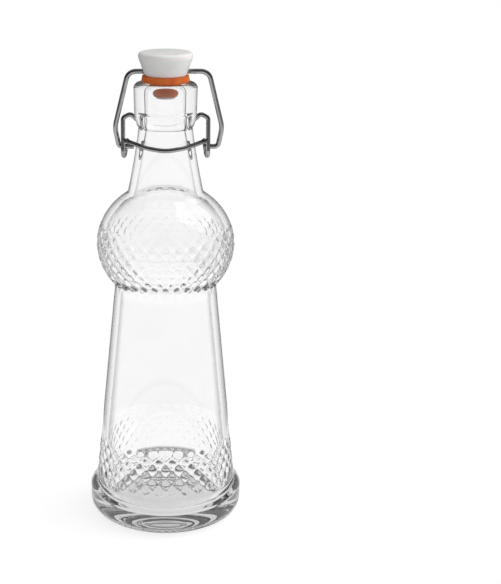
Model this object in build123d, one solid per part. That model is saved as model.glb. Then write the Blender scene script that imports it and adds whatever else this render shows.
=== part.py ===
from build123d import *
import os
from math import cos, radians, tan

# Swing top bottle: a glass bottle with a round bulb under its neck, and a wire closure that
# presses a stopper and its rubber gasket into the mouth.
# Millimetres. +Z is up, the origin is the middle of the ring that the bottle stands on, +X is
# to the right and -Y is the front, where the lever's handle lies when the bottle is closed.

# Each height is measured from the piece below it, and each width from what it has to clear, so
# one size can change and what fits to it follows.

# ---------------------------------------------------------------- glass: foot and cone
foot_r = 36.1            # outside radius of the foot
foot_rim_z = 13.0        # height of the foot's straight side, corner to corner
foot_heel_r = 6.5        # rounding between the foot's side and the ring it stands on
foot_edge_r = 1.8        # rounding of the foot's upper edge
step_r = 3.0             # hollow rounding where the foot runs into the cone
step_in = 3.2            # the foot stands out this far beyond the cone
step_up = 3.9
cone_height = 97.0       # from the cone's bottom to the bulb's lower crease
cone_narrowing = 9.6     # how much the cone's radius shrinks over that height
bearing_width = 2.0      # flat width of the standing ring
push_up = 4.5            # depth of the dome under the base
base_thickness = 4.0     # glass between the dome's top and the inside floor

# ---------------------------------------------------------------- glass: bulb and neck
bulb_r = 31.4
bulb_half_height = 28.1
bulb_rise = 18.9         # from the lower crease up to the bulb's widest place
neck_root_rise = 17.2    # from there up to where the neck's curve starts, inside the bulb
neck_mid_rise = 19.3
neck_top_rise = 17.3
neck_top_r = 12.1
neck_mid_swell = 2.6     # how much wider the neck is at its middle than at its top
neck_root_swell = 6.6
lower_crease_r = 1.0
upper_crease_r = 2.0

# ---------------------------------------------------------------- glass: finish and wall
bead_over_neck = 2.2     # how far the bead stands out beyond the neck
bead_start = 0.2         # width of its underside at the neck
bead_taper = 0.35        # the bead narrows a little, down to where its underside turns in
bead_turn_rise = 4.9
bead_height = 19.8
rim_corner_r = 2.4
finish_wall = 3.6        # the neck's wall at the bead's foot
seat_width = 1.7         # the bevel that the gasket rests over
seat_depth = 1.7
cone_wall = 3.2
bulb_wall = 3.0
neck_wall = 3.2
inner_crease_r = 3.0     # the inside is blown, so its creases are soft
floor_corner_r = 3.5

# ---------------------------------------------------------------- wire closure
lever_wire_r = 1.0
bail_wire_r = 1.1
pivot_rise = 2.4         # from the bead's foot up to the line that the lever turns about
dimple_depth = 3.4       # from the bead's outside in to the dimples' floors
dimple_gap = 0.1         # round the lever's ends, in their dimples
wire_end_gap = 0.3       # between a lever end and its dimple's floor
lever_ramp_in = 2.3      # the lever wire leaves the pivot line this far inside the bead's outside
lever_ramp_angle = 42.0
lever_ramp_bend_r = 1.5
arch_out = 1.4           # from the bead's outside to the lever's arch
leg_out = 4.8            # and to its straight legs
turn_gap = 0.2           # between turns of the lever's eye
eye_room = 0.75          # round the bail's foot in the eye, front and back
eye_lift_room = 1.2      # and above and below
eye_back = 2.0           # the eye lies behind the pivot line, so the closed lever locks
eye_drop = 12.8          # and this far below it
eye_gap = 0.3            # the bail pulls up in the eye, to this far from its top
arch_bend_r = 1.8
leg_top_drop = 1.8       # from the arch's peak down to the leg's upper corner
leg_bend_r = 1.8
eye_flat = 0.15          # half the straight run between the eye's corner arcs
handle_side_in = 2.5     # the handle's rounded corners, beside the neck
handle_side_y = -5.0
handle_side_drop = 8.4   # below the pivot line
handle_side_bend_r = 6.5
handle_nose_in = 10.9    # where the front stretch starts to dip to its middle
handle_nose_back = 1.3
handle_nose_drop = 9.6
handle_nose_bend_r = 8.0
handle_front_out = 0.9   # the handle swings up this far in front of the bead
handle_front_drop = 10.7
handle_front_bend_r = 18.0
bail_play = 1.3          # the bail has slid this far to the right in its eyes
bail_bar_rise = 1.8      # from the stopper's underside up to the bail's bar
bail_shoulder_out = 5.75 # from the stopper's widest place out to the bail's shoulder
bail_wide_out = 5.0      # from the lever's legs out to the bail's widest place
bail_wide_drop = 3.0     # below the pivot line
bail_foot_out = 3.2
bail_tip_in = 3.5
bail_foot_bend_r = 2.0
bail_wide_bend_r = 12.0
bail_shoulder_bend_r = 4.5
bar_gap = 0.1            # round the bail's bar, in the stopper

# ---------------------------------------------------------------- stopper and gasket
stopper_rise = 7.9       # from its underside up to its widest place
stopper_height = 10.7
stopper_dome = 0.4
stopper_edge_r = 1.5
stopper_wide_r = 12.15
stopper_taper = 2.95
stem_r = 3.6
button_over_stem = 0.8   # the stem's end, which holds the gasket on
button_height = 1.0
gasket_gap = 0.3         # the gasket rests this far above the rim, uncompressed
gasket_flange = 2.8      # height of the gasket's flange
gasket_overlap = 0.55    # how far the flange reaches over the rim, past its bevel
gasket_edge = 1.0        # height of the flange's upright edge
gasket_bevel = 0.4
gasket_hub_room = 0.8    # between the gasket's hub and the bore, at the rim
gasket_hub_taper = 2.4
gasket_hub_depth = 5.6   # from the rim down into the mouth
gasket_round_r = 0.4     # rounding of the gasket's moulded edges

# ---------------------------------------------------------------- places that follow
cone_bottom_z = foot_rim_z + step_up
cone_bottom_r = foot_r - step_in
bulb_z = cone_bottom_z + cone_height + bulb_rise
neck_root_z = bulb_z + neck_root_rise
neck_mid_z = neck_root_z + neck_mid_rise
neck_top_z = neck_mid_z + neck_top_rise
neck_mid_r = neck_top_r + neck_mid_swell
neck_root_r = neck_top_r + neck_root_swell
finish_r = neck_top_r + bead_over_neck
bead_bottom_r = neck_top_r + bead_start
bead_turn_r = finish_r - bead_taper
bead_turn_z = neck_top_z + bead_turn_rise
rim_z = neck_top_z + bead_height
bore_r = neck_top_r - finish_wall
seat_r = bore_r + seat_width
pivot_z = neck_top_z + pivot_rise
dimple_floor_x = finish_r - dimple_depth
lever_ramp_x = finish_r - lever_ramp_in
arch_x = finish_r + arch_out
leg_x = finish_r + leg_out
coil_pitch = 2 * lever_wire_r + turn_gap
eye_half_depth = lever_wire_r + bail_wire_r + eye_room
eye_half_height = lever_wire_r + bail_wire_r + eye_lift_room
eye_corner_r = eye_half_depth - eye_flat
handle_side_x = leg_x - handle_side_in
handle_nose_x = leg_x - handle_nose_in
handle_front_y = -(finish_r + handle_front_out)
handle_nose_y = handle_front_y + handle_nose_back
handle_side_z = pivot_z - handle_side_drop
handle_nose_z = pivot_z - handle_nose_drop
handle_front_z = pivot_z - handle_front_drop
eye_z = pivot_z - eye_drop
bail_foot_z = eye_z + eye_half_height - lever_wire_r - bail_wire_r - eye_gap
gasket_z = rim_z + gasket_gap
gasket_r = seat_r + gasket_overlap
gasket_top_r = gasket_r - gasket_bevel
gasket_hub_r = bore_r - gasket_hub_room
gasket_hub_tip_r = gasket_hub_r - gasket_hub_taper
hub_bottom_z = rim_z - gasket_hub_depth
button_r = stem_r + button_over_stem
stopper_z = gasket_z + gasket_flange
stopper_wide_z = stopper_z + stopper_rise
stopper_top_z = stopper_z + stopper_height
stopper_bottom_r = stopper_wide_r - stopper_taper
bail_bar_z = stopper_z + bail_bar_rise
bail_wide_z = pivot_z - bail_wide_drop
bail_shoulder_x = stopper_wide_r + bail_shoulder_out
bail_wide_x = leg_x + bail_wide_out
bail_foot_x = leg_x + bail_foot_out
bail_tip_x = leg_x - bail_tip_in
cone_slope = cone_narrowing / cone_height


def cone_radius(z):
    """Outside radius of the cone at a height."""
    return cone_bottom_r - cone_slope * (z - cone_bottom_z)


def turned(*edges):
    """The solid of an outline, drawn as (radius, height), turned about the bottle's axis."""
    outline = Plane.XZ * make_face(Curve() + list(edges))
    return revolve(outline, Axis.Z)


def turned_polygon(points, corner_radii):
    """The same for a polygon with rounded corners that starts and ends on the axis."""
    side = FilletPolyline(*points, radius=corner_radii)
    return turned(*side.edges(), Line(points[-1], points[0]))


def ellipsoid(radius, half_height):
    """A solid of an ellipse about the axis, centred at the bulb's height."""
    low, high = (0, bulb_z - half_height), (0, bulb_z + half_height)
    side = EllipticalCenterArc((0, bulb_z), radius, half_height, start_angle=-90, arc_size=180)
    return turned(side, Line(high, low))


def neck_solid(root_r, mid_r, top_r):
    """The neck's hollow curve from inside the bulb up to the bead."""
    root, mid, top = (root_r, neck_root_z), (mid_r, neck_mid_z), (top_r, neck_top_z)
    side = ThreePointArc(root, mid, top)
    return turned(side, Line(top, (0, neck_top_z)), Line((0, neck_top_z), (0, neck_root_z)),
                  Line((0, neck_root_z), root))


def bulb_creases(solid):
    """The round edges where the bulb meets the cone and the neck."""
    low, high = bulb_z - bulb_half_height, bulb_z + bulb_half_height
    edges = [e for e in solid.edges() if low < e.center().Z < high and e.length > bore_r]
    lower = [e for e in edges if e.center().Z < bulb_z]
    upper = [e for e in edges if e.center().Z > bulb_z]
    return lower, upper


def glass_outside():
    cone_end = (cone_radius(bulb_z), bulb_z)
    points = [(0, 0), (foot_r, 0), (foot_r, foot_rim_z), (cone_bottom_r, cone_bottom_z),
              cone_end, (0, bulb_z)]
    body = turned_polygon(points, [foot_heel_r, foot_edge_r, step_r, 0])
    bulb = ellipsoid(bulb_r, bulb_half_height)
    solid = body + bulb + neck_solid(neck_root_r, neck_mid_r, neck_top_r)
    lower, upper = bulb_creases(solid)
    solid = fillet(lower, lower_crease_r)
    lower, upper = bulb_creases(solid)
    upper = [max(upper, key=lambda e: e.center().Z)]
    return fillet(upper, upper_crease_r)


def finish_bead():
    """The thick bead round the mouth, with its rounded underside and top corner."""
    bottom, turn = (bead_bottom_r, neck_top_z), (bead_turn_r, bead_turn_z)
    corner, rim = (finish_r, rim_z - rim_corner_r), (finish_r - rim_corner_r, rim_z)
    underside = TangentArc(turn, bottom, tangent=(bead_turn_r - finish_r, turn[1] - corner[1]))
    shoulder = TangentArc(corner, rim, tangent=(0, 1))
    return turned(underside, Line(turn, corner), shoulder, Line(rim, (0, rim_z)),
                  Line((0, rim_z), (0, neck_top_z)), Line((0, neck_top_z), bottom))


def glass_inside():
    floor_z = push_up + base_thickness
    floor_r = cone_radius(floor_z) - cone_wall
    points = [(0, floor_z), (floor_r, floor_z), (cone_radius(bulb_z) - cone_wall, bulb_z),
              (0, bulb_z)]
    body = turned_polygon(points, [floor_corner_r, 0])
    bulb = ellipsoid(bulb_r - bulb_wall, bulb_half_height - bulb_wall)
    solid = body + bulb
    solid += neck_solid(neck_root_r - neck_wall, neck_mid_r - neck_wall, bore_r)
    lower, upper = bulb_creases(solid)
    solid = fillet(lower, inner_crease_r)
    lower, upper = bulb_creases(solid)
    upper = [max(upper, key=lambda e: e.center().Z)]
    solid = fillet(upper, inner_crease_r)
    bore = Pos(Z=(neck_top_z + rim_z) / 2) * Cylinder(bore_r, rim_z - neck_top_z)
    seat = Pos(Z=rim_z - seat_depth / 2) * Cone(bore_r, seat_r, seat_depth)
    return solid + bore + seat


def dimple():
    """The pocket in the bead for the lever's right end, flared where the wire ramps up."""
    pocket_r = lever_wire_r + dimple_gap
    flare_x = lever_ramp_x - lever_ramp_bend_r * tan(radians(lever_ramp_angle / 2))
    flare_r = pocket_r / cos(radians(lever_ramp_angle))
    flare_length = finish_r + lever_wire_r - flare_x
    mouth_r = flare_r + flare_length * tan(radians(lever_ramp_angle))
    pocket_length = flare_x - dimple_floor_x
    pocket = Pos(Z=dimple_floor_x + pocket_length / 2) * Cylinder(pocket_r, pocket_length)
    flare = Pos(Z=flare_x + flare_length / 2) * Cone(flare_r, mouth_r, flare_length)
    return Pos(Z=pivot_z) * Rot(Y=90) * (pocket + flare)


def bottle():
    dome_r = foot_r - foot_heel_r - bearing_width
    low, top = (dome_r, 0), (0, push_up)
    dome = turned(TangentArc(top, low, tangent=(1, 0)), Line(low, (0, 0)), Line((0, 0), top))
    solid = glass_outside() + finish_bead() - glass_inside() - dome
    socket = dimple()
    return solid - socket - mirror(socket, Plane.YZ)


def stopper():
    bottom, wide = (stopper_bottom_r, stopper_z), (stopper_wide_r, stopper_wide_z)
    edge_z = stopper_top_z - stopper_dome
    points = [(0, stopper_z), bottom, wide, (stopper_wide_r, edge_z), (0, stopper_top_z)]
    cap = turned_polygon(points, [stopper_edge_r / 2, stopper_edge_r / 2, stopper_edge_r])
    button_z = hub_bottom_z - button_height
    stem = Pos(Z=(stopper_z + button_z) / 2) * Cylinder(stem_r, stopper_z - button_z)
    button = Pos(Z=button_z + button_height / 2) * Cylinder(button_r, button_height)
    button = fillet(button.edges().sort_by(Axis.Z)[0], button_height / 2)
    bar_hole = Pos(Z=bail_bar_z) * Rot(Y=90) * Cylinder(bail_wire_r + bar_gap, 4 * stopper_wide_r)
    return cap + stem + button - bar_hole


def gasket():
    points = [(0, hub_bottom_z), (gasket_hub_tip_r, hub_bottom_z), (gasket_hub_r, gasket_z),
              (gasket_r, gasket_z), (gasket_r, gasket_z + gasket_edge),
              (gasket_top_r, stopper_z), (0, stopper_z)]
    ring = turned_polygon(points, [gasket_round_r, 0, gasket_round_r, gasket_round_r, 0])
    hole_height = stopper_z - hub_bottom_z
    return ring - Pos(Z=hub_bottom_z + hole_height / 2) * Cylinder(stem_r, hole_height)


def wire(points, corner_radii, wire_r):
    """A round wire bent along a row of points, with an arc at each corner."""
    path = FilletPolyline(*points, radius=corner_radii)
    section = Plane(origin=path @ 0, z_dir=path % 0) * Circle(wire_r)
    return sweep(section, path=path)


def lever_wire():
    """End in the dimple, arch over the bead's edge, leg, eye of one turn, handle."""
    tip_x = dimple_floor_x + wire_end_gap
    arch_z = pivot_z + (arch_x - lever_ramp_x) * tan(radians(lever_ramp_angle))
    front_y, back_y = eye_back - eye_half_depth, eye_back + eye_half_depth
    low_z, high_z = eye_z - eye_half_height, eye_z + eye_half_height
    half = [(tip_x, 0, pivot_z), (lever_ramp_x, 0, pivot_z), (arch_x, 0, arch_z),
            (leg_x, 0, arch_z - leg_top_drop),
            (leg_x, front_y, low_z), (leg_x - coil_pitch / 3, back_y, low_z),
            (leg_x - coil_pitch * 2 / 3, back_y, high_z),
            (handle_side_x, handle_side_y, handle_side_z),
            (handle_nose_x, handle_nose_y, handle_nose_z)]
    radii = [lever_ramp_bend_r, arch_bend_r, leg_bend_r, eye_corner_r, eye_corner_r,
             eye_corner_r, handle_side_bend_r, handle_nose_bend_r]
    left = [(-x, y, z) for x, y, z in half]
    front = (0, handle_front_y, handle_front_z)
    all_radii = radii + [handle_front_bend_r] + radii[::-1]
    return wire(half + [front] + left[::-1], all_radii, lever_wire_r)


def bail_wire():
    """Foot in the eye, leg, bar through the stopper, leg, foot."""
    lean = eye_back / (bail_bar_z - bail_foot_z)
    wide_y = lean * (bail_bar_z - bail_wide_z)
    half = [(bail_tip_x, eye_back, bail_foot_z), (bail_foot_x, eye_back, bail_foot_z),
            (bail_wide_x, wide_y, bail_wide_z), (bail_shoulder_x, 0, bail_bar_z)]
    right = [(x + bail_play, y, z) for x, y, z in half]
    left = [(bail_play - x, y, z) for x, y, z in half]
    radii = [bail_foot_bend_r, bail_wide_bend_r, bail_shoulder_bend_r]
    return wire(right + left[::-1], radii + radii[::-1], bail_wire_r)


os.makedirs("parts", exist_ok=True)
pieces = {"bottle": bottle(), "stopper": stopper(), "gasket": gasket(),
          "lever_wire": lever_wire(), "bail_wire": bail_wire()}
for name, piece in pieces.items():
    piece.label = name
    export_step(piece, f"parts/{name}.step")
    print(name, "solids", len(piece.solids()), "volume", round(piece.volume / 1000, 2), "ml")
print("inside, brimful", round(glass_inside().volume / 1000, 1), "ml")
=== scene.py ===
# %% [markdown]
# # A swing top bottle
# Clear pressed glass, a white stopper with an orange rubber gasket, and two bent steel wires that
# clamp it shut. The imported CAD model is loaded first. It fixes where everything is, so each new
# piece takes its place from it, in metres.

# %% Load the fixed frame
import math

import bmesh
import bpy
import numpy as np
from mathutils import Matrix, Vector


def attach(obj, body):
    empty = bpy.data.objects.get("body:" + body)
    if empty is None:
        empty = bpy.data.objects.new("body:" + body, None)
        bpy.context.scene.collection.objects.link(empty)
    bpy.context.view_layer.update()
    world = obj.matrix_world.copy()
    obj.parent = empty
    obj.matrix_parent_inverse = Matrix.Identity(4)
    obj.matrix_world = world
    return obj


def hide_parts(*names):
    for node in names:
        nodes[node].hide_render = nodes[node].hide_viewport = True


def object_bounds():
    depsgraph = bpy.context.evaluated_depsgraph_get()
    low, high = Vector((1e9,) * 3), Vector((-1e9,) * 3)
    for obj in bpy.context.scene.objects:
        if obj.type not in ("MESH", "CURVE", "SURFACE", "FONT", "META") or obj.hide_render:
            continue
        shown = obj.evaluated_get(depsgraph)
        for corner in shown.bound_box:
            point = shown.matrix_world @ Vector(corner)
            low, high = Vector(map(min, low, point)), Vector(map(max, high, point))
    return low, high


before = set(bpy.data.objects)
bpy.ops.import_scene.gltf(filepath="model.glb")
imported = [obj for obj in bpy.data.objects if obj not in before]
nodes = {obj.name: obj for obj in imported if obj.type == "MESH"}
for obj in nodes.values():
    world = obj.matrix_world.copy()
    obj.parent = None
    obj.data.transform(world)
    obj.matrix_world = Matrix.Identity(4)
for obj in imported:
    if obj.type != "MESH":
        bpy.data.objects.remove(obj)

cad_low, cad_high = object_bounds()
MM = 0.001
print("CAD box in mm", [round(v / MM, 1) for v in (*cad_low, *cad_high)])

# %% [markdown]
# ## The camera
# Glass shows whatever stands behind it, so the camera comes first. It looks down at the bottle
# a little, from about 0.6 m away. The bottle stands left of the middle, and a sideways shift of
# the lens does that without turning the camera, so the bottle keeps its upright lines. Light
# crosses and bounces between many surfaces of clear glass, so its paths may have 32 steps. With
# fewer, the thick base turns black.

# %% Camera
LOOK_DOWN = 17.8         # degrees
GLASS_BOUNCES = 32
camera_data = bpy.data.cameras.new("camera")
camera = bpy.data.objects.new("camera", camera_data)
bpy.context.scene.collection.objects.link(camera)
camera.location = (0, -0.6045, 0.3027)
camera.rotation_euler = (math.radians(90 - LOOK_DOWN), 0, 0)
camera_data.sensor_width = 36
camera_data.lens = 84.0
camera_data.shift_x = 0.1454
bpy.context.scene.camera = camera
bpy.context.scene.view_settings.view_transform = "Standard"
bpy.context.scene.cycles.max_bounces = GLASS_BOUNCES
bpy.context.scene.cycles.transmission_bounces = GLASS_BOUNCES
bpy.context.scene.cycles.glossy_bounces = GLASS_BOUNCES
print("camera", camera_data.lens, "mm lens,", round(camera.location.length, 3), "m from the foot")

# %% [markdown]
# ## Helpers for materials
# Colours are written as sRGB hex, as a paint chart gives them, and one function turns them into
# the linear values that the shader needs. One more function adds a node, with its settings and
# its links, so each material below reads as a short list.


# %% Colour and node helpers
def srgb(hex_code):
    """Linear RGBA of an sRGB hex colour."""
    channels = [int(hex_code[i:i + 2], 16) / 255 for i in (1, 3, 5)]
    return [c / 12.92 if c <= 0.04045 else ((c + 0.055) / 1.055) ** 2.4 for c in channels] + [1]


def add(tree, kind, settings=None, **inputs):
    """A new node. Settings are its properties, and a ramp's (position, colour) stops.
    Inputs are values, or sockets to link from, by name or by number, as in _0."""
    node = tree.nodes.new(kind)
    for name, value in (settings or {}).items():
        if name != "stops":
            setattr(node, name, value)
            continue
        elements = node.color_ramp.elements
        while len(elements) < len(value):
            elements.new(0.5)
        for element, (position, colour) in zip(elements, value):
            element.position, element.color = position, colour
    for name, value in inputs.items():
        socket = node.inputs[int(name[1:]) if name[0] == "_" else name.replace("_", " ")]
        if isinstance(value, bpy.types.NodeSocket):
            tree.links.new(value, socket)
        else:
            socket.default_value = value
    return node


def new_material(name):
    """An empty material with its node tree and its output node."""
    material = bpy.data.materials.new(name)
    material.use_nodes = True
    material.node_tree.nodes.clear()
    return material, material.node_tree, add(material.node_tree, "ShaderNodeOutputMaterial")


def two_tones(dark, light):
    """Stops for a ramp that takes a noise from one hex colour to another."""
    return {"stops": [(0.3, srgb(dark)), (0.7, srgb(light))]}


print("white paper in linear values", [round(v, 3) for v in srgb("#F2F2F0")])

# %% [markdown]
# ## The bottle's outline
# The bottle is pressed and blown in a mould, so it is round everywhere, and a turned outline
# describes it: foot, cone, bulb, neck and bead outside, and the soft blown shape inside. The
# heights and radii are those of the CAD bottle. Where two shapes meet, a smooth maximum leaves
# the small hollow rounding that a mould needs.

# %% Radii and heights of the glass, in millimetres
FOOT_R, FOOT_RIM_Z, HEEL_R = 36.1, 13.0, 6.5
CONE_BOTTOM_R, CONE_BOTTOM_Z, CONE_SLOPE = 32.9, 16.9, 0.09897
CREASE_Z = 113.9         # where the cone meets the bulb
BULB_Z, BULB_R, BULB_HALF = 132.8, 31.4, 28.1
NECK = ((18.7, 150.0), (14.7, 169.3), (12.1, 186.6))
NECK_TOP_R, NECK_TOP_Z = NECK[2]
BEAD_BOTTOM, BEAD_TURN = (12.3, 186.6), (13.95, 191.5)
FINISH_R, RIM_Z, RIM_CORNER = 14.3, 206.4, 2.4
BORE_R, SEAT_R, SEAT_DEPTH = 8.5, 10.2, 1.7
CONE_WALL, BULB_WALL, NECK_WALL = 3.2, 3.0, 3.2
RING_IN, RING_OUT, PUSH_UP, FLOOR_Z, FLOOR_CORNER = 27.6, 29.6, 4.5, 8.5, 3.5
OUTER_CREASE, INNER_CREASE = 1.4, 1.5
print("rim at", RIM_Z, "mm, foot", 2 * FOOT_R, "mm across")


# %% Radius of the glass at a height
def circle_through(a, b, c):
    """Centre and radius of the circle through three (radius, height) points."""
    (ax, ay), (bx, by), (cx, cy) = a, b, c
    d = 2 * (ax * (by - cy) + bx * (cy - ay) + cx * (ay - by))
    a2, b2, c2 = ax * ax + ay * ay, bx * bx + by * by, cx * cx + cy * cy
    x = (a2 * (by - cy) + b2 * (cy - ay) + c2 * (ay - by)) / d
    y = (a2 * (cx - bx) + b2 * (ax - cx) + c2 * (bx - ax)) / d
    return x, y, math.hypot(ax - x, ay - y)


def body_radius(z, inset_cone, inset_bulb, inset_neck, crease):
    """Radius of cone, bulb and neck together at a height, each brought in by its wall."""
    cone = CONE_BOTTOM_R - CONE_SLOPE * (z - CONE_BOTTOM_Z) - inset_cone
    cone = cone if z < BULB_Z else 0
    reach = 1 - ((z - BULB_Z) / (BULB_HALF - inset_bulb)) ** 2
    bulb = (BULB_R - inset_bulb) * math.sqrt(reach) if reach > 0 else 0
    points = [(r - inset_neck, h) for r, h in NECK]
    points[2] = (NECK_TOP_R if inset_neck == 0 else BORE_R, NECK_TOP_Z)
    x, y, radius = circle_through(*points)
    neck = x - math.sqrt(max(radius ** 2 - (z - y) ** 2, 0)) if z > BULB_Z else 0
    second, widest = sorted((cone, bulb, neck))[1:]
    return widest + max(crease - (widest - second), 0) ** 2 / (4 * crease)


def outside_radius(z):
    """Radius of the outside at a height."""
    return body_radius(z, 0, 0, 0, OUTER_CREASE)


def inside_radius(z):
    """Radius of the inside at a height."""
    return body_radius(z, CONE_WALL, BULB_WALL, NECK_WALL, INNER_CREASE)


print("bulb outside", outside_radius(BULB_Z), "mm, inside", inside_radius(BULB_Z), "mm")


# %% Small 2-D helpers: arcs, rounded corners, even steps along a line
def arc(centre, radius, start, end, count=12):
    """Points of an arc, angles in degrees."""
    angles = np.radians(np.linspace(start, end, count))
    return [(centre[0] + radius * math.cos(t), centre[1] + radius * math.sin(t)) for t in angles]


def round_corner(a, corner, b, radius, count=10):
    """Points of the arc that rounds a corner between two straight runs."""
    a, corner, b = (Vector(p) for p in (a, corner, b))
    u, v = (a - corner).normalized(), (b - corner).normalized()
    half = u.angle(v) / 2
    centre = corner + (u + v).normalized() * radius / math.sin(half)
    reach = radius / math.tan(half)
    first, last = corner + u * reach - centre, corner + v * reach - centre
    turn = math.pi - 2 * half
    shares = [k / (count - 1) for k in range(count)]
    points = [first * (math.sin((1 - s) * turn) / math.sin(turn))
              + last * (math.sin(s * turn) / math.sin(turn)) for s in shares]
    return [tuple(centre + p) for p in points]


def even_steps(points, step):
    """The same line with its points about one step apart, ends kept."""
    line = np.array(points, float)
    runs = np.hypot(*np.diff(line, axis=0).T)
    at = np.concatenate([[0], np.cumsum(runs)])
    count = max(int(round(at[-1] / step)), 1)
    where = np.linspace(0, at[-1], count + 1)
    return np.column_stack([np.interp(where, at, line[:, k]) for k in (0, 1)])


def heights(low, high, radius_at, count=400):
    """Points of an outline between two heights."""
    return [(radius_at(z), z) for z in np.linspace(low, high, count)]


corner = round_corner((0, 0), (5, 0), (5, 5), 1, 3)
print("a rounded corner:", [tuple(round(c, 2) for c in p) for p in corner])

# %% [markdown]
# ## The cut-glass pattern
# The mould has a lattice of diamonds cut into it, 32 round the bottle, on the bulb and in a band
# low on the cone. It could be a bump in the material, but glass bends the light by its true
# slope, and the outline shows the bumps too, so the pattern is real geometry. The mesh's rows and
# columns are lined up with the lattice, 8 to a diamond, so each groove keeps a clean edge.

# %% Lattice of diamonds
DIAMONDS, PER_DIAMOND = 32, 8
COLUMNS = PER_DIAMOND * DIAMONDS
HALF_PITCH = 3.42        # mm from one row of diamonds to the next, which is shifted by half of one
ROW_STEP = HALF_PITCH / 4
CONE_ROWS, BULB_ROWS = 6 * 4, 9 * 4
RELIEF = 0.55            # mm from the grooves to the tops on the cone
GROOVE = 0.08            # share of the relief that is cut off as the grooves' flat floor
WALL_LEVEL = 0.6         # level of the pattern that lies on the smooth wall


def lattice(columns, along):
    """Height of the pattern from 0 in the grooves to 1 on the tops. Along is in millimetres."""
    a = columns / PER_DIAMOND
    b = along / (2 * HALF_PITCH)
    pillow = np.abs(np.sin(np.pi * (a + b)) * np.sin(np.pi * (a - b)))
    cut = np.clip((pillow - GROOVE) / (1 - GROOVE), 0, 1)
    return cut * (1.6 - 0.6 * cut)


print("one row of the lattice:", lattice(np.arange(PER_DIAMOND), 0.0).round(2))

# %% [markdown]
# ## From the base to the mouth
# The outline is one line that starts under the base, goes up the outside, over the rim, and down
# the inside to the floor. It is made in runs, because each needs its own spacing: close together
# on the pattern and round the small corners, and far apart on the long smooth walls.

# %% Dome under the base, foot and step
AXIS_R = 0.6             # mm, where the rows stop short of the axis
FOOT_CORNER, STEP_CORNER = 1.8, 3.0
_, dome_y, dome_r = circle_through((RING_IN, 0), (0, PUSH_UP), (-RING_IN, 0))
dome = [(r, dome_y + math.sqrt(dome_r ** 2 - r * r))
        for r in np.linspace(AXIS_R, RING_IN - 0.3, 24)]
foot_top, cone_bottom = (FOOT_R, FOOT_RIM_Z), (CONE_BOTTOM_R, CONE_BOTTOM_Z)
cone_up = (CONE_BOTTOM_R - CONE_SLOPE * 10, CONE_BOTTOM_Z + 10)
foot = [(RING_IN, 0), (RING_OUT, 0)] + arc((RING_OUT, HEEL_R), HEEL_R, -90, 0, 24)
foot += round_corner((FOOT_R, HEEL_R), foot_top, cone_bottom, FOOT_CORNER)
step = round_corner(foot_top, cone_bottom, cone_up, STEP_CORNER)
print("dome of", round(dome_r, 1), "mm radius, step ends at", round(step[-1][1], 1), "mm")

# %% Cone, bulb and neck, cut where the pattern starts and ends
BAND_TOP, BAND_HEIGHT = 38.5, CONE_ROWS * ROW_STEP
BULB_BAND = BULB_ROWS * ROW_STEP
band_low = BAND_TOP - BAND_HEIGHT
foot_and_step = foot + [p for p in step if p[1] < band_low]
band = heights(band_low, BAND_TOP, outside_radius)
cone = heights(BAND_TOP, CREASE_Z, outside_radius)
above = np.array(heights(CREASE_Z, NECK_TOP_Z, outside_radius, 1600))
arc_along = np.concatenate([[0], np.cumsum(np.hypot(*np.diff(above, axis=0).T))])
cut = int(np.searchsorted(arc_along, BULB_BAND))
bulb_band, bulb_to_neck = above[:cut + 1], above[cut:]
print("pattern on the cone from", round(band_low, 1), "to", BAND_TOP, "mm, on the bulb up to",
      round(above[cut][1], 1), "mm")

# %% Bead, rim and mouth, with the soft ring that the plunger leaves where the mouth is pressed
PLUNGER_Z, PLUNGER_STEP, PLUNGER_END, PLUNGER_FADE = 193.6, 0.55, 1.2, 5.0
seat_edge, bore_top = (SEAT_R, RIM_Z), (BORE_R, RIM_Z - SEAT_DEPTH)
bead_reach, bead_rise = BEAD_TURN[0] - BEAD_BOTTOM[0], BEAD_TURN[1] - BEAD_BOTTOM[1]
under_r = (bead_reach ** 2 + bead_rise ** 2) / (2 * bead_reach)
under_turn = math.degrees(math.asin(bead_rise / under_r))
bead = arc((BEAD_TURN[0] - under_r, BEAD_TURN[1]), under_r, -under_turn, 0, 14)
bead += arc((FINISH_R - RIM_CORNER, RIM_Z - RIM_CORNER), RIM_CORNER, 0, 90, 14)
mouth = [bead[-1]] + round_corner((FINISH_R - RIM_CORNER, RIM_Z), seat_edge, bore_top, 0.5, 5)
mouth += round_corner(seat_edge, bore_top, (BORE_R, NECK_TOP_Z), 0.8, 6)
for z in np.linspace(PLUNGER_Z + 0.5, NECK_TOP_Z, 40):
    past_plunger = min(max((PLUNGER_Z - z) / PLUNGER_END, 0), 1)
    above_neck = min((z - NECK_TOP_Z) / PLUNGER_FADE, 1)
    mouth.append((BORE_R + PLUNGER_STEP * past_plunger * above_neck, z))
print("bore", BORE_R, "mm, widest", round(max(r for r, z in mouth if z < PLUNGER_Z), 2), "mm")

# %% Inside and floor
floor_wall = (CONE_BOTTOM_R - CONE_SLOPE * (FLOOR_Z - CONE_BOTTOM_Z) - CONE_WALL, FLOOR_Z)
wall_up = (floor_wall[0] - CONE_SLOPE * 20, FLOOR_Z + 20)
floor_corner = round_corner((0, FLOOR_Z), floor_wall, wall_up, FLOOR_CORNER, 14)
inside = heights(NECK_TOP_Z, floor_corner[-1][1], inside_radius, 1200)
floor = floor_corner[::-1] + [(AXIS_R, FLOOR_Z)]
print("floor", round(floor_wall[0], 1), "mm in radius at", FLOOR_Z, "mm")

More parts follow.
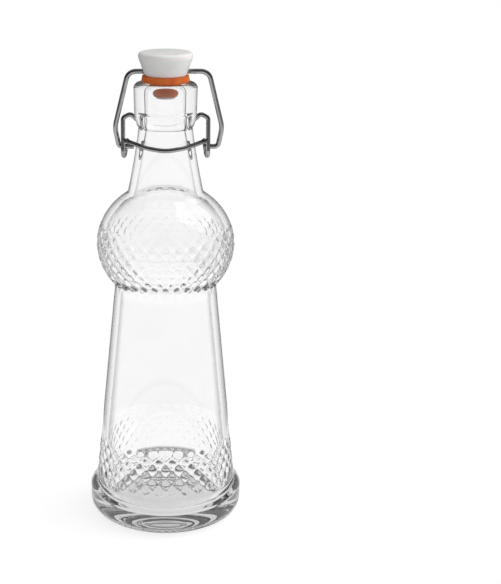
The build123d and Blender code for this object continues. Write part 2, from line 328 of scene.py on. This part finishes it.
# %% Join the runs, each with its own spacing in millimetres
runs = [("dome", dome, 2.0), ("foot", foot_and_step, 0.8), ("cone pattern", band, ROW_STEP),
        ("cone", cone, 3.0), ("bulb pattern", bulb_band, ROW_STEP),
        ("bulb to neck", bulb_to_neck, 1.6), ("bead", bead, 0.55), ("mouth", mouth, 0.75),
        ("inside", inside, 2.6), ("floor", floor, 0.9)]
outline, kinds, steps_along = [], [], []
for name, points, spacing in runs:
    line = even_steps(points, spacing)
    for k in range(1 if outline else 0, len(line)):
        outline.append(line[k])
        kinds.append(name)
        steps_along.append(k)
outline = np.array(outline)
print(len(outline), "rows in the outline")

# %% [markdown]
# ## Press the pattern into the glass
# The outline is turned round the axis, and each point is pushed out or in, square to the wall, by
# the lattice. The diamonds on the bulb stand higher than those on the cone, most of all next to
# the crease under the bulb, where they make a row of dark dashes. A band fades to nothing at its
# ends, except at that crease, which cuts the diamonds off. Under the heel, the foot has a fine
# stippling. Its dots are about half a millimetre wide on a real bottle. They are drawn coarser
# here, two columns or about 1.6 mm wide, so that they show.

# %% How far each point is pushed out, in millimetres
BULB_RELIEF, CREASE_RELIEF = 1.35, 0.9   # in parts of the cone's, the second added at the crease
CREASE_ROWS, CREASE_START = 12, 0.9      # rows with added relief, and share that the first row has
STIPPLE_LOW, STIPPLE_HIGH, STIPPLE_DEPTH = 0.15, 3.4, 0.4
tangent = np.gradient(outline, axis=0)
tangent /= np.linalg.norm(tangent, axis=1)[:, None]
normal = np.column_stack([tangent[:, 1], -tangent[:, 0]])
columns = np.arange(COLUMNS)
push = np.zeros((len(outline), COLUMNS))
for row, (kind, steps, (r, z)) in enumerate(zip(kinds, steps_along, outline)):
    along = steps * ROW_STEP
    if kind == "cone pattern":
        left = BAND_HEIGHT - along
        edge = min(along, left) / (0.5 * HALF_PITCH)
        level = lattice(columns + PER_DIAMOND // 2, left) - WALL_LEVEL
        push[row] = min(edge, 1) * RELIEF * level
    elif kind == "bulb pattern":
        edge = min(along + CREASE_START * HALF_PITCH, BULB_BAND - along) / HALF_PITCH
        higher = BULB_RELIEF + CREASE_RELIEF * max(1 - steps / CREASE_ROWS, 0)
        push[row] = min(edge, 1) * higher * RELIEF * (lattice(columns, along) - WALL_LEVEL)
    elif kind == "foot" and STIPPLE_LOW < z < STIPPLE_HIGH and r > RING_OUT:
        push[row] = -STIPPLE_DEPTH * ((columns // 2 + row) % 2)
print("pushed from", round(push.min(), 2), "to", round(push.max(), 2), "mm")

# %% Turn the outline, and press in the two dimples for the lever's ends
PIVOT_Z, DIMPLE_R, DIMPLE_X, DIMPLE_REACH = 189.0, 1.15, 10.9, 5.0
FLARE_R, FLARE_X, FLARE_ANGLE, FLARE_STEP = 1.5, 11.42, 42, 0.3
angle = 2 * np.pi * columns / COLUMNS
r = outline[:, 0, None] + push * normal[:, 0, None]
z = outline[:, 1, None] + push * normal[:, 1, None]
x, y = r * np.cos(angle), r * np.sin(angle)
from_pivot = np.hypot(y, z - PIVOT_Z)
flare = FLARE_X + (from_pivot - FLARE_R) / math.tan(math.radians(FLARE_ANGLE))
depth = np.where(from_pivot < DIMPLE_R, DIMPLE_X, np.maximum(flare, DIMPLE_X + FLARE_STEP))
outside_rows = np.array([kind in ("bead", "bulb to neck") for kind in kinds])[:, None]
near = outside_rows & (from_pivot < DIMPLE_REACH) & (np.abs(x) > depth)
x = np.where(near, np.sign(x) * depth, x)
points = np.stack([x, y, z], axis=2).reshape(-1, 3) * MM
print("pressed", int(near.sum()), "points into the two dimples")


# %% Faces: triangles whose edges follow the grooves in the pattern, and quads elsewhere
def ring_faces(row):
    """Faces between one row of points and the next."""
    kind, along = kinds[row + 1], steps_along[row + 1] - 1
    shift = PER_DIAMOND // 2 - CONE_ROWS if kind == "cone pattern" else 0
    ring = []
    for j in range(COLUMNS):
        a, b = row * COLUMNS + j, row * COLUMNS + (j + 1) % COLUMNS
        c, d = b + COLUMNS, a + COLUMNS
        if "pattern" not in kind:
            ring.append((a, b, c, d))
        elif (j + 1 + along + shift) % PER_DIAMOND < PER_DIAMOND // 2:
            ring += [(a, b, d), (b, c, d)]
        else:
            ring += [(a, b, c), (a, c, d)]
    return ring


faces = [face for row in range(len(outline) - 1) for face in ring_faces(row)]
bottom, top = len(points), len(points) + 1
last = (len(outline) - 1) * COLUMNS
points = np.vstack([points, [[0, 0, PUSH_UP * MM], [0, 0, FLOOR_Z * MM]]])
faces += [(bottom, (j + 1) % COLUMNS, j) for j in range(COLUMNS)]
faces += [(top, last + j, last + (j + 1) % COLUMNS) for j in range(COLUMNS)]
print(len(points), "points,", len(faces), "faces")

# %% The glass bottle, which takes the place of the plain CAD one
glass_mesh = bpy.data.meshes.new("glass_bottle")
glass_mesh.from_pydata(points.tolist(), [], faces)
glass_mesh.validate()
glass_mesh.shade_smooth()
glass_bottle = bpy.data.objects.new("glass_bottle", glass_mesh)
bpy.context.scene.collection.objects.link(glass_bottle)
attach(glass_bottle, "bottle")
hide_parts("bottle")
check = bmesh.new()
check.from_mesh(glass_mesh)
open_edges = sum(not edge.is_manifold for edge in check.edges)
print(round(check.calc_volume(signed=True) / MM ** 3 / 1000, 1), "ml of glass,", open_edges,
      "open edges")
check.free()

# %% [markdown]
# ## Clear soda-lime glass
# Pressed glass is almost colourless, and what the eye sees is bent light. Its index of refraction
# is 1.52, and fire polish leaves it perfectly smooth, so its roughness is 0. The mould's chill
# gives it a very soft waviness, about 14 mm wide. Where the wall is seen edge-on, a grey painted
# shade that follows the facing angle darkens the glass and draws the outline, and a faint
# absorption darkens the thick base. Real glass focuses light into its own shadow, which takes
# long to compute, so shadow and diffuse rays pass through it with a small loss instead.

# %% Tint, painted edge shade and waviness of the glass
CHILL_WIDTH = 14 * MM
glass, tree, output = new_material("clear_soda_lime_glass")
place = add(tree, "ShaderNodeTexCoord").outputs["Object"]
chill = add(tree, "ShaderNodeTexNoise", Vector=place, Scale=1 / CHILL_WIDTH, Detail=2.0).outputs[0]
clear = add(tree, "ShaderNodeValToRGB", two_tones("#FDFDFD", "#FFFFFF"), Fac=chill).outputs[0]
# Painted shade: the glass colour turns grey towards its outline by the facing angle, down to
# #404040 at the very edge.
edge_on = add(tree, "ShaderNodeLayerWeight", Blend=0.5).outputs["Facing"]
edges = add(tree, "ShaderNodeValToRGB",
            {"stops": [(0.60, srgb("#FFFFFF")), (0.74, srgb("#B8B8B8")), (0.88, srgb("#707070")),
                       (1.0, srgb("#404040"))]}, Fac=edge_on).outputs[0]
MULTIPLY = {"data_type": "RGBA", "blend_type": "MULTIPLY"}
# The glass colour is its faint random tone times the painted edge shade.
tone_and_edge_shade = add(tree, "ShaderNodeMix", MULTIPLY, Factor=1.0, _6=clear, _7=edges).outputs[2]
waves = add(tree, "ShaderNodeBump", Height=chill, Strength=0.12, Distance=0.4 * MM).outputs[0]
print("waviness", round(CHILL_WIDTH / MM), "mm wide, edges from", edges.node.name)

# %% Its surface, its inside, and its shadow
surface = add(tree, "ShaderNodeBsdfPrincipled", Base_Color=tone_and_edge_shade, Roughness=0.0, IOR=1.52,
              Transmission_Weight=1.0, Normal=waves)
inner = add(tree, "ShaderNodeVolumeAbsorption", Color=srgb("#D6D6D6"), Density=25.0)
ray = add(tree, "ShaderNodeLightPath")
soft_light = add(tree, "ShaderNodeMath", {"operation": "MAXIMUM"},
                 _0=ray.outputs["Is Shadow Ray"], _1=ray.outputs["Is Diffuse Ray"])
let_through = add(tree, "ShaderNodeBsdfTransparent", Color=srgb("#E6E6E6"))
glass_mix = add(tree, "ShaderNodeMixShader", _0=soft_light.outputs[0],
                _1=surface.outputs["BSDF"], _2=let_through.outputs[0])
tree.links.new(glass_mix.outputs[0], output.inputs["Surface"])
tree.links.new(inner.outputs["Volume"], output.inputs["Volume"])
glass_mesh.materials.append(glass)
print(glass.name, "with IOR", round(surface.inputs["IOR"].default_value, 2))

# %% [markdown]
# ## White stopper
# The stopper is injection-moulded polypropylene, opaque white with a soft shine. A little
# scattering under the surface rounds off its shadows, and the faint grain of the mould breaks up
# the highlight.

# %% Polypropylene
plastic, tree, output = new_material("white_polypropylene")
place = add(tree, "ShaderNodeTexCoord").outputs["Object"]
grain = add(tree, "ShaderNodeTexNoise", Vector=place, Scale=1 / (0.6 * MM), Detail=3.0).outputs[0]
flow = add(tree, "ShaderNodeTexNoise", Vector=place, Scale=1 / (9 * MM), Detail=2.0).outputs[0]
white = add(tree, "ShaderNodeValToRGB", two_tones("#EDEDEB", "#F4F4F3"), Fac=flow).outputs[0]
gloss = add(tree, "ShaderNodeMapRange", _0=grain, _3=0.28, _4=0.42).outputs[0]
skin = add(tree, "ShaderNodeBump", Height=grain, Strength=0.15, Distance=0.05 * MM).outputs[0]
surface = add(tree, "ShaderNodeBsdfPrincipled", Base_Color=white, Roughness=gloss, IOR=1.49,
              Subsurface_Weight=0.25, Subsurface_Scale=2 * MM, Normal=skin)
tree.links.new(surface.outputs["BSDF"], output.inputs["Surface"])
nodes["stopper"].data.materials.clear()
nodes["stopper"].data.materials.append(plastic)
print("stopper", plastic.name)

# %% [markdown]
# ## Orange rubber gasket
# Natural rubber, moulded and dyed orange. It is soft and slightly see-through at its thin edge,
# so light that enters it comes out again a millimetre or two further on.

# %% Rubber
rubber, tree, output = new_material("orange_natural_rubber")
place = add(tree, "ShaderNodeTexCoord").outputs["Object"]
bloom = add(tree, "ShaderNodeTexNoise", Vector=place, Scale=1 / (4 * MM), Detail=4.0).outputs[0]
grain = add(tree, "ShaderNodeTexNoise", Vector=place, Scale=1 / (0.4 * MM), Detail=2.0).outputs[0]
orange = add(tree, "ShaderNodeValToRGB", two_tones("#CC5A14", "#E2741F"), Fac=bloom).outputs[0]
skin = add(tree, "ShaderNodeBump", Height=grain, Strength=0.2, Distance=0.05 * MM).outputs[0]
surface = add(tree, "ShaderNodeBsdfPrincipled", Base_Color=orange, Roughness=0.5, IOR=1.52,
              Subsurface_Weight=0.35, Subsurface_Scale=1.5 * MM, Normal=skin)
tree.links.new(surface.outputs["BSDF"], output.inputs["Surface"])
nodes["gasket"].data.materials.clear()
nodes["gasket"].data.materials.append(rubber)
print("gasket", rubber.name)

# %% [markdown]
# ## Drawn steel wire
# Both wires are spring steel, drawn through a die and bright zinc plated. Drawing leaves fine
# marks that scatter the highlight, so the wire shows a soft bright line along its length and
# darker sides where it mirrors the room.

# %% Steel
steel, tree, output = new_material("bright_drawn_steel")
place = add(tree, "ShaderNodeTexCoord").outputs["Object"]
marks = add(tree, "ShaderNodeTexNoise", Vector=place, Scale=1 / (0.35 * MM), Detail=3.0).outputs[0]
dull = add(tree, "ShaderNodeTexNoise", Vector=place, Scale=1 / (6 * MM), Detail=2.0).outputs[0]
zinc = add(tree, "ShaderNodeValToRGB", two_tones("#9A9A9C", "#B2B2B3"), Fac=dull).outputs[0]
polish = add(tree, "ShaderNodeMapRange", _0=marks, _3=0.14, _4=0.24).outputs[0]
scratch = add(tree, "ShaderNodeBump", Height=marks, Strength=0.15, Distance=0.02 * MM).outputs[0]
surface = add(tree, "ShaderNodeBsdfPrincipled", Base_Color=zinc, Metallic=1.0, Roughness=polish,
              Normal=scratch)
tree.links.new(surface.outputs["BSDF"], output.inputs["Surface"])
for name in ("lever_wire", "bail_wire"):
    nodes[name].data.materials.clear()
    nodes[name].data.materials.append(steel)
print("wires", steel.name)

# %% [markdown]
# ## Studio
# Clear glass is shown on a bright ground with darker surroundings, which draw its edges. The
# table is pale, and it is whitened for the camera so that it runs into the background without
# a seam, while the bottle's shadow stays. The room that the glass shows is white up to a little
# above the horizon and dark over it, the same from all sides. It is 6 per cent brighter than
# white, which makes up for some of the light that each surface mirrors away. The room that the
# wires mirror has a light side and a dark side, and a soft lamp stands on the right. The lamp is
# hidden from reflections, because it would show as a square on the bulb.

# %% Table
TABLE_R, TABLE_DROP = 0.13, 0.2 * MM     # just under the foot, so the two faces stay apart
TABLE_TO_CAMERA, TABLE_IN_GLASS = 0.64, 0.62
bpy.ops.mesh.primitive_circle_add(vertices=96, radius=TABLE_R, fill_type="NGON",
                                  location=(0, 0, -TABLE_DROP))
table = bpy.context.object
table.name = "pale_table"
paper, tree, output = new_material("white_card")
ray = add(tree, "ShaderNodeLightPath")
mirrored = add(tree, "ShaderNodeMath", {"operation": "ADD", "use_clamp": True},
               _0=ray.outputs["Is Glossy Ray"], _1=ray.outputs["Is Transmission Ray"])
through = add(tree, "ShaderNodeMath", {"operation": "MULTIPLY"}, _0=mirrored.outputs[0],
              _1=TABLE_IN_GLASS)
lift = add(tree, "ShaderNodeMath", {"operation": "MULTIPLY_ADD"}, _0=ray.outputs["Is Camera Ray"],
           _1=TABLE_TO_CAMERA, _2=through.outputs[0])
matt = add(tree, "ShaderNodeBsdfDiffuse", Color=srgb("#BCBCBC"))
glow = add(tree, "ShaderNodeEmission", Strength=lift.outputs[0])
both = add(tree, "ShaderNodeAddShader", _0=matt.outputs[0], _1=glow.outputs[0])
tree.links.new(both.outputs[0], output.inputs["Surface"])
table.data.materials.append(paper)
print("table of", paper.name, "with", TABLE_R, "m radius")

# %% Directions in the room, each from 0 to 1: up, to the right and to the back
world = bpy.data.worlds.new("studio")
bpy.context.scene.world = world
world.use_nodes = True
tree = world.node_tree
tree.nodes.clear()
output = add(tree, "ShaderNodeOutputWorld")
ray = add(tree, "ShaderNodeLightPath")
place = add(tree, "ShaderNodeTexCoord").outputs["Generated"]
direction = add(tree, "ShaderNodeSeparateXYZ", Vector=place)
side, depth, height = [add(tree, "ShaderNodeMapRange", _0=direction.outputs[axis], _1=-1.0,
                           _2=1.0).outputs[0] for axis in ("X", "Y", "Z")]
print("room", world.name)


# %% What glass shows, and what lights the matt pieces
def greys(*stops):
    """Stops for a ramp of light levels."""
    return {"stops": [(position, (level, level, level, 1)) for position, level in stops]}


in_glass = add(tree, "ShaderNodeValToRGB",
               greys((0.0, 0.88), (0.28, 0.95), (0.36, 1.0), (0.62, 1.0), (0.67, 0.2),
                     (0.85, 0.1), (1.0, 0.5)), Fac=height).outputs[0]
on_matt = add(tree, "ShaderNodeValToRGB", greys((0.0, 0.42), (0.5, 0.62), (1.0, 0.95)),
              Fac=side).outputs[0]
print("ramps for the glass and the matt pieces:", in_glass.node.name, on_matt.node.name)

# %% What the wires mirror: walls, and the bright table in front of them
LIGHTEN = {"data_type": "RGBA", "blend_type": "LIGHTEN"}
up_levels = add(tree, "ShaderNodeValToRGB",
                greys((0.0, 0.8), (0.48, 0.6), (0.56, 0.25), (0.8, 0.1), (1.0, 0.9)),
                Fac=height).outputs[0]
back_levels = add(tree, "ShaderNodeValToRGB",
                  greys((0.0, 0.35), (0.3, 0.35), (0.6, 0.7), (1.0, 0.35)), Fac=depth).outputs[0]
side_levels = add(tree, "ShaderNodeValToRGB", greys((0.0, 0.6), (0.5, 0.7), (0.85, 1.0)),
                  Fac=side).outputs[0]
table_levels = add(tree, "ShaderNodeValToRGB", greys((0.0, 1.0), (0.37, 1.0), (0.42, 0.0)),
                   Fac=height).outputs[0]
front_levels = add(tree, "ShaderNodeValToRGB",
                   greys((0.0, 1.0), (0.55, 1.0), (0.75, 0.3), (1.0, 0.2)), Fac=depth).outputs[0]
walls = add(tree, "ShaderNodeMix", MULTIPLY, Factor=1.0, _6=up_levels, _7=back_levels).outputs[2]
walls = add(tree, "ShaderNodeMix", MULTIPLY, Factor=1.0, _6=walls, _7=side_levels).outputs[2]
low_front = add(tree, "ShaderNodeMix", MULTIPLY, Factor=1.0, _6=table_levels,
                _7=front_levels).outputs[2]
in_metal = add(tree, "ShaderNodeMix", LIGHTEN, Factor=1.0, _6=walls, _7=low_front).outputs[2]
print("room ramps:", sum(node.type == "VALTORGB" for node in tree.nodes))

# %% Give each kind of ray its room
CLEAR_LOSS = 0.06        # what the glass loses at its surfaces
WHITE = (1.0, 1.0, 1.0, 1.0)
room = on_matt
for kind, seen in (("Is Glossy Ray", in_metal), ("Is Transmission Ray", in_glass),
                   ("Is Camera Ray", WHITE)):
    room = add(tree, "ShaderNodeMix", {"data_type": "RGBA"}, Factor=ray.outputs[kind], _6=room,
               _7=seen).outputs[2]
strength = add(tree, "ShaderNodeMath", {"operation": "MULTIPLY_ADD"},
               _0=ray.outputs["Is Transmission Ray"], _1=CLEAR_LOSS, _2=1.0).outputs[0]
sky = add(tree, "ShaderNodeBackground", Color=room, Strength=strength)
tree.links.new(sky.outputs[0], output.inputs["Surface"])
print("room set up with", len(tree.nodes), "nodes")


# %% Lamp
def softbox(name, place, aim, size, watts):
    """A square area lamp that faces a point."""
    data = bpy.data.lights.new(name, "AREA")
    data.shape, data.size, data.energy = "SQUARE", size, watts
    lamp = bpy.data.objects.new(name, data)
    bpy.context.scene.collection.objects.link(lamp)
    lamp.location = place
    lamp.visible_glossy = False
    lamp.rotation_euler = (Vector(aim) - Vector(place)).to_track_quat("-Z", "Y").to_euler()
    print(name, watts, "W at", place)


softbox("right_softbox", (0.6, 0.1, 0.9), (cad_low + cad_high) / 2, 0.9, 5.0)
